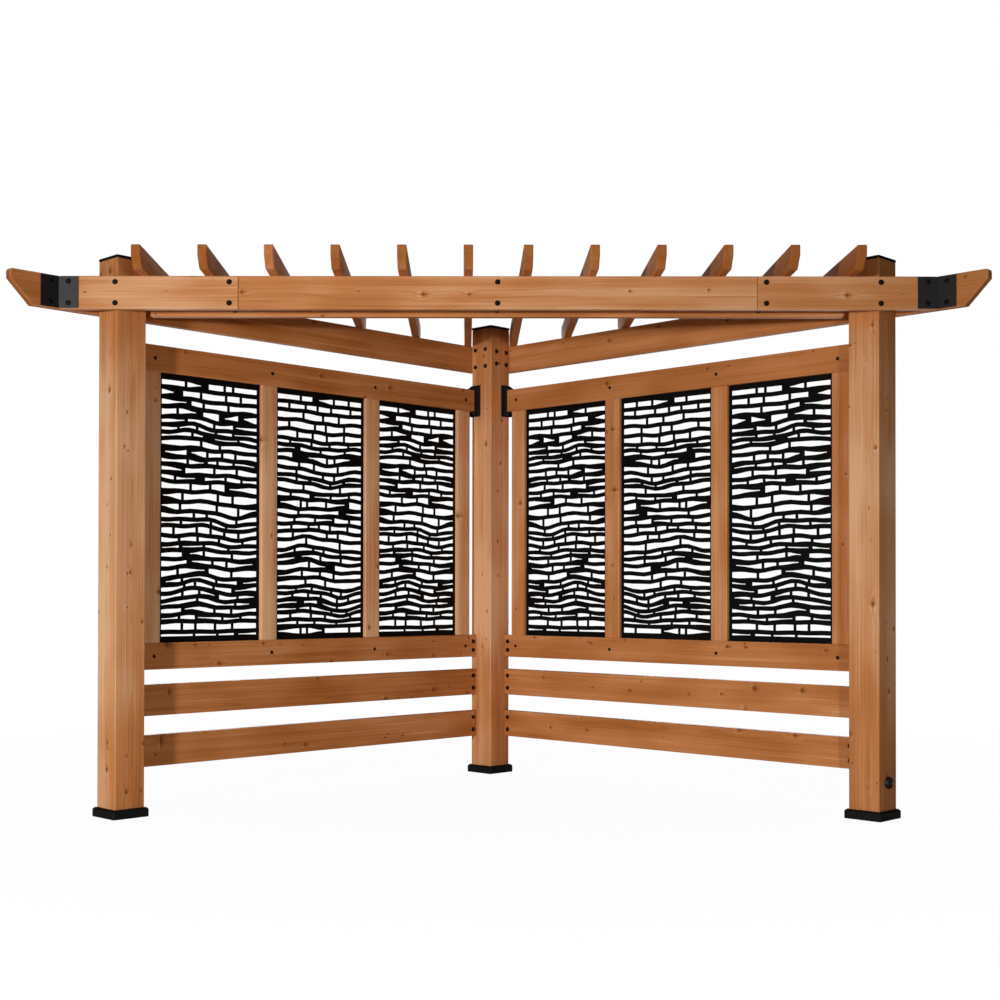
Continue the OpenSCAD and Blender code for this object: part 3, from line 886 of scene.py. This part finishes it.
def light_sky(settings):
    """Even light from all around, seen as white behind the object."""
    world = bpy.data.worlds.new("studio")
    world.use_nodes = True
    tree = world.node_tree
    background = tree.nodes["Background"]
    seen = put(tree, "ShaderNodeLightPath").outputs["Is Camera Ray"]
    strength = put(tree, "ShaderNodeMapRange", {"Value": seen, "To Min": settings.sky, "To Max": 1.0})
    background.inputs["Color"].default_value = (1, 1, 1, 1)
    tree.links.new(strength.outputs[0], background.inputs["Strength"])
    bpy.context.scene.world = world


def area_light(name, place, target, size, power, spread):
    """A soft square light aimed at a point, whose beam spreads by an angle in degrees."""
    data = bpy.data.lights.new(name, "AREA")
    data.shape = "SQUARE"
    data.size = size
    data.energy = power
    data.spread = math.radians(spread)
    light = bpy.data.objects.new(name, data)
    light.location = place
    light.rotation_euler = (Vector(target) - Vector(place)).to_track_quat("-Z", "Y").to_euler()
    light.visible_camera = False
    bpy.context.scene.collection.objects.link(light)


def set_camera(settings):
    """The camera at the place and angle of the photograph."""
    data = bpy.data.cameras.new("camera")
    data.lens = settings.lens
    data.sensor_width = 36.0
    data.shift_x = 0.0399
    data.shift_y = 0.0803
    data.clip_end = 200.0
    yaw, pitch, roll = 0.0044, 0.0096, 0.0018
    camera = bpy.data.objects.new("camera", data)
    camera.location = (-0.1257, -7.6779, 0.9335)
    turn = Matrix.Rotation(yaw, 4, "Z") @ Matrix.Rotation(math.pi / 2 + pitch, 4, "X")
    camera.rotation_euler = (turn @ Matrix.Rotation(roll, 4, "Z")).to_euler()
    bpy.context.scene.collection.objects.link(camera)
    bpy.context.scene.camera = camera


# Operators, one for each piece or group of like pieces


class PERGOLA_OT_stage(bpy.types.Operator):
    """Set the floor, the lights and the camera"""

    bl_idname = "pergola.stage"
    bl_label = "Stage"

    def execute(self, context):
        settings = context.scene.pergola_stage
        lay_floor(settings)
        light_sky(settings)
        for name, (place, target, size, power, spread) in LIGHTS.items():
            area_light(name, place, target, size, getattr(settings, power), spread)
        set_camera(settings)
        context.scene.view_settings.view_transform = "Standard"
        return {"FINISHED"}


class PERGOLA_OT_posts(bpy.types.Operator):
    """Make the three timber posts"""

    bl_idname = "pergola.posts"
    bl_label = "Posts"

    def execute(self, context):
        for node in ("corner_post", "left_post", "right_post"):
            timber_piece(node, context.scene.pergola_timber.post_ease, 3, "post_timber", boxed_heart=True)
        return {"FINISHED"}


class PERGOLA_OT_headers(bpy.types.Operator):
    """Make the front header's lengths and the inner header"""

    bl_idname = "pergola.headers"
    bl_label = "Headers"

    def execute(self, context):
        for node in ("header_left", "header_centre", "header_right", "inner_header"):
            seamed = node.startswith("header_")
            timber_piece(node, context.scene.pergola_timber.board_ease, 2, "board_timber", seamed=seamed)
        return {"FINISHED"}


class PERGOLA_OT_side_beams(bpy.types.Operator):
    """Make the two side beams with their cut tails"""

    bl_idname = "pergola.side_beams"
    bl_label = "Side Beams"

    def execute(self, context):
        timber = context.scene.pergola_timber
        for word in SIDES:
            timber_piece(f"{word}_beam", timber.board_ease, 2, "board_timber", tail_round=timber.tail_round)
        return {"FINISHED"}


class PERGOLA_OT_rafters(bpy.types.Operator):
    """Make the rafters"""

    bl_idname = "pergola.rafters"
    bl_label = "Rafters"

    def execute(self, context):
        count = sum(1 for node in frame["nodes"] if node.startswith("rafter_"))
        for i in range(1, count + 1):
            timber_piece(f"rafter_{i}", context.scene.pergola_timber.board_ease, 2, "board_timber")
        return {"FINISHED"}


class PERGOLA_OT_wall_boards(bpy.types.Operator):
    """Make the rails and stiles of both walls"""

    bl_idname = "pergola.wall_boards"
    bl_label = "Wall Boards"

    def execute(self, context):
        for word in SIDES:
            for board in ("low_rail", "middle_rail", "sill_rail", "top_rail", "stiles"):
                timber_piece(f"{word}_{board}", context.scene.pergola_timber.board_ease, 2, "board_timber")
        return {"FINISHED"}


class PERGOLA_OT_screens(bpy.types.Operator):
    """Coat the cut-metal screens"""

    bl_idname = "pergola.screens"
    bl_label = "Screens"

    def execute(self, context):
        for name, node in frame["nodes"].items():
            if "_screen_" in name:
                node.data.materials.clear()
                node.data.materials.append(materials()["screen_steel"])
        return {"FINISHED"}


class PERGOLA_OT_fittings(bpy.types.Operator):
    """Make the feet, caps, corner plates and rail brackets"""

    bl_idname = "pergola.fittings"
    bl_label = "Steel Fittings"

    def execute(self, context):
        steel = context.scene.pergola_steel
        for node in ("corner_foot", "left_foot", "right_foot"):
            steel_piece(node, steel.foot_edge, 3, "foot_steel")
        for node in ("post_caps", "corner_plates", "rail_brackets"):
            steel_piece(node, steel.edge, 2, "black_steel")
        return {"FINISHED"}


class PERGOLA_OT_sleeves(bpy.types.Operator):
    """Make the sleeves between the headers"""

    bl_idname = "pergola.sleeves"
    bl_label = "Header Sleeves"

    def execute(self, context):
        low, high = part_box("header_sleeves")
        diameter = 2 * (high.x - SEAM_X)
        heights = (low.z + diameter / 2, high.z - diameter / 2)
        points = [(Vector((x, low.y, z)), -FRONT) for x in (-SEAM_X, 0.0, SEAM_X) for z in heights]
        sizes = {"Diameter": diameter, "Length": high.y - low.y}
        set_on_points("header_sleeves_steel", sleeve_tree(), points, sizes, "black_steel", "header_sleeves")
        return {"FINISHED"}


class PERGOLA_OT_bolts(bpy.types.Operator):
    """Set the bolts and screws"""

    bl_idname = "pergola.bolts"
    bl_label = "Bolts and Screws"

    def execute(self, context):
        settings = context.scene.pergola_fasteners
        bolt_height, screw_height = settings.bolt_head * 0.32, settings.screw_head * 0.2
        bolt = {"Diameter": settings.bolt_head, "Height": bolt_height}
        screw = {"Diameter": settings.screw_head, "Height": screw_height}
        bolts = header_bolts() + plate_bolts() + corner_post_bolts() + rail_bolts()
        tree = head_tree()
        set_on_points("beam_bolts", tree, bolts, bolt, "bolt_steel")
        set_on_points("wall_screws", tree, wall_screws(), screw, "bolt_steel")
        return {"FINISHED"}


class PERGOLA_OT_disc(bpy.types.Operator):
    """Set the plain disc on the right post"""

    bl_idname = "pergola.disc"
    bl_label = "Plain Disc"

    def execute(self, context):
        height, thickness = 0.155, 0.012
        facing = wall_run(SIDES["right"])
        place = place_of("right_foot") + facing * POST_W / 2 + UP * height
        radius = context.scene.pergola_fasteners.disc / 2
        show("plain_disc", turned_disc("plain_disc", radius, thickness, place, facing), "black_steel")
        return {"FINISHED"}


class PERGOLA_PT_panel(bpy.types.Panel):
    """Lists the pieces and their settings"""

    bl_idname = "PERGOLA_PT_panel"
    bl_label = "Corner Pergola"
    bl_space_type = "VIEW_3D"
    bl_region_type = "UI"
    bl_category = "Pergola"

    def draw(self, context):
        for operator in OPERATORS:
            self.layout.operator(operator.bl_idname)
        for name in SETTINGS:
            group = getattr(context.scene, name)
            for key in group.__annotations__:
                self.layout.prop(group, key)


SETTINGS = {
    "pergola_timber": TimberSettings,
    "pergola_steel": SteelSettings,
    "pergola_fasteners": FastenerSettings,
    "pergola_stage": StageSettings,
}
OPERATORS = (
    PERGOLA_OT_stage, PERGOLA_OT_posts, PERGOLA_OT_headers, PERGOLA_OT_side_beams, PERGOLA_OT_rafters,
    PERGOLA_OT_wall_boards, PERGOLA_OT_screens, PERGOLA_OT_fittings, PERGOLA_OT_sleeves, PERGOLA_OT_bolts,
    PERGOLA_OT_disc,
)


def register():
    """Registers the settings, the operators and the panel."""
    for name, group in SETTINGS.items():
        bpy.utils.register_class(group)
        setattr(bpy.types.Scene, name, bpy.props.PointerProperty(type=group))
    for cls in (*OPERATORS, PERGOLA_PT_panel):
        bpy.utils.register_class(cls)


def unregister():
    """Undoes register."""
    for cls in (PERGOLA_PT_panel, *reversed(OPERATORS)):
        bpy.utils.unregister_class(cls)
    for name, group in reversed(SETTINGS.items()):
        delattr(bpy.types.Scene, name)
        bpy.utils.unregister_class(group)


def main():
    """Runs every operator."""
    register()
    for operator in OPERATORS:
        group, name = operator.bl_idname.split(".")
        getattr(getattr(bpy.ops, group), name)()


if __name__ == "__main__":
    main()
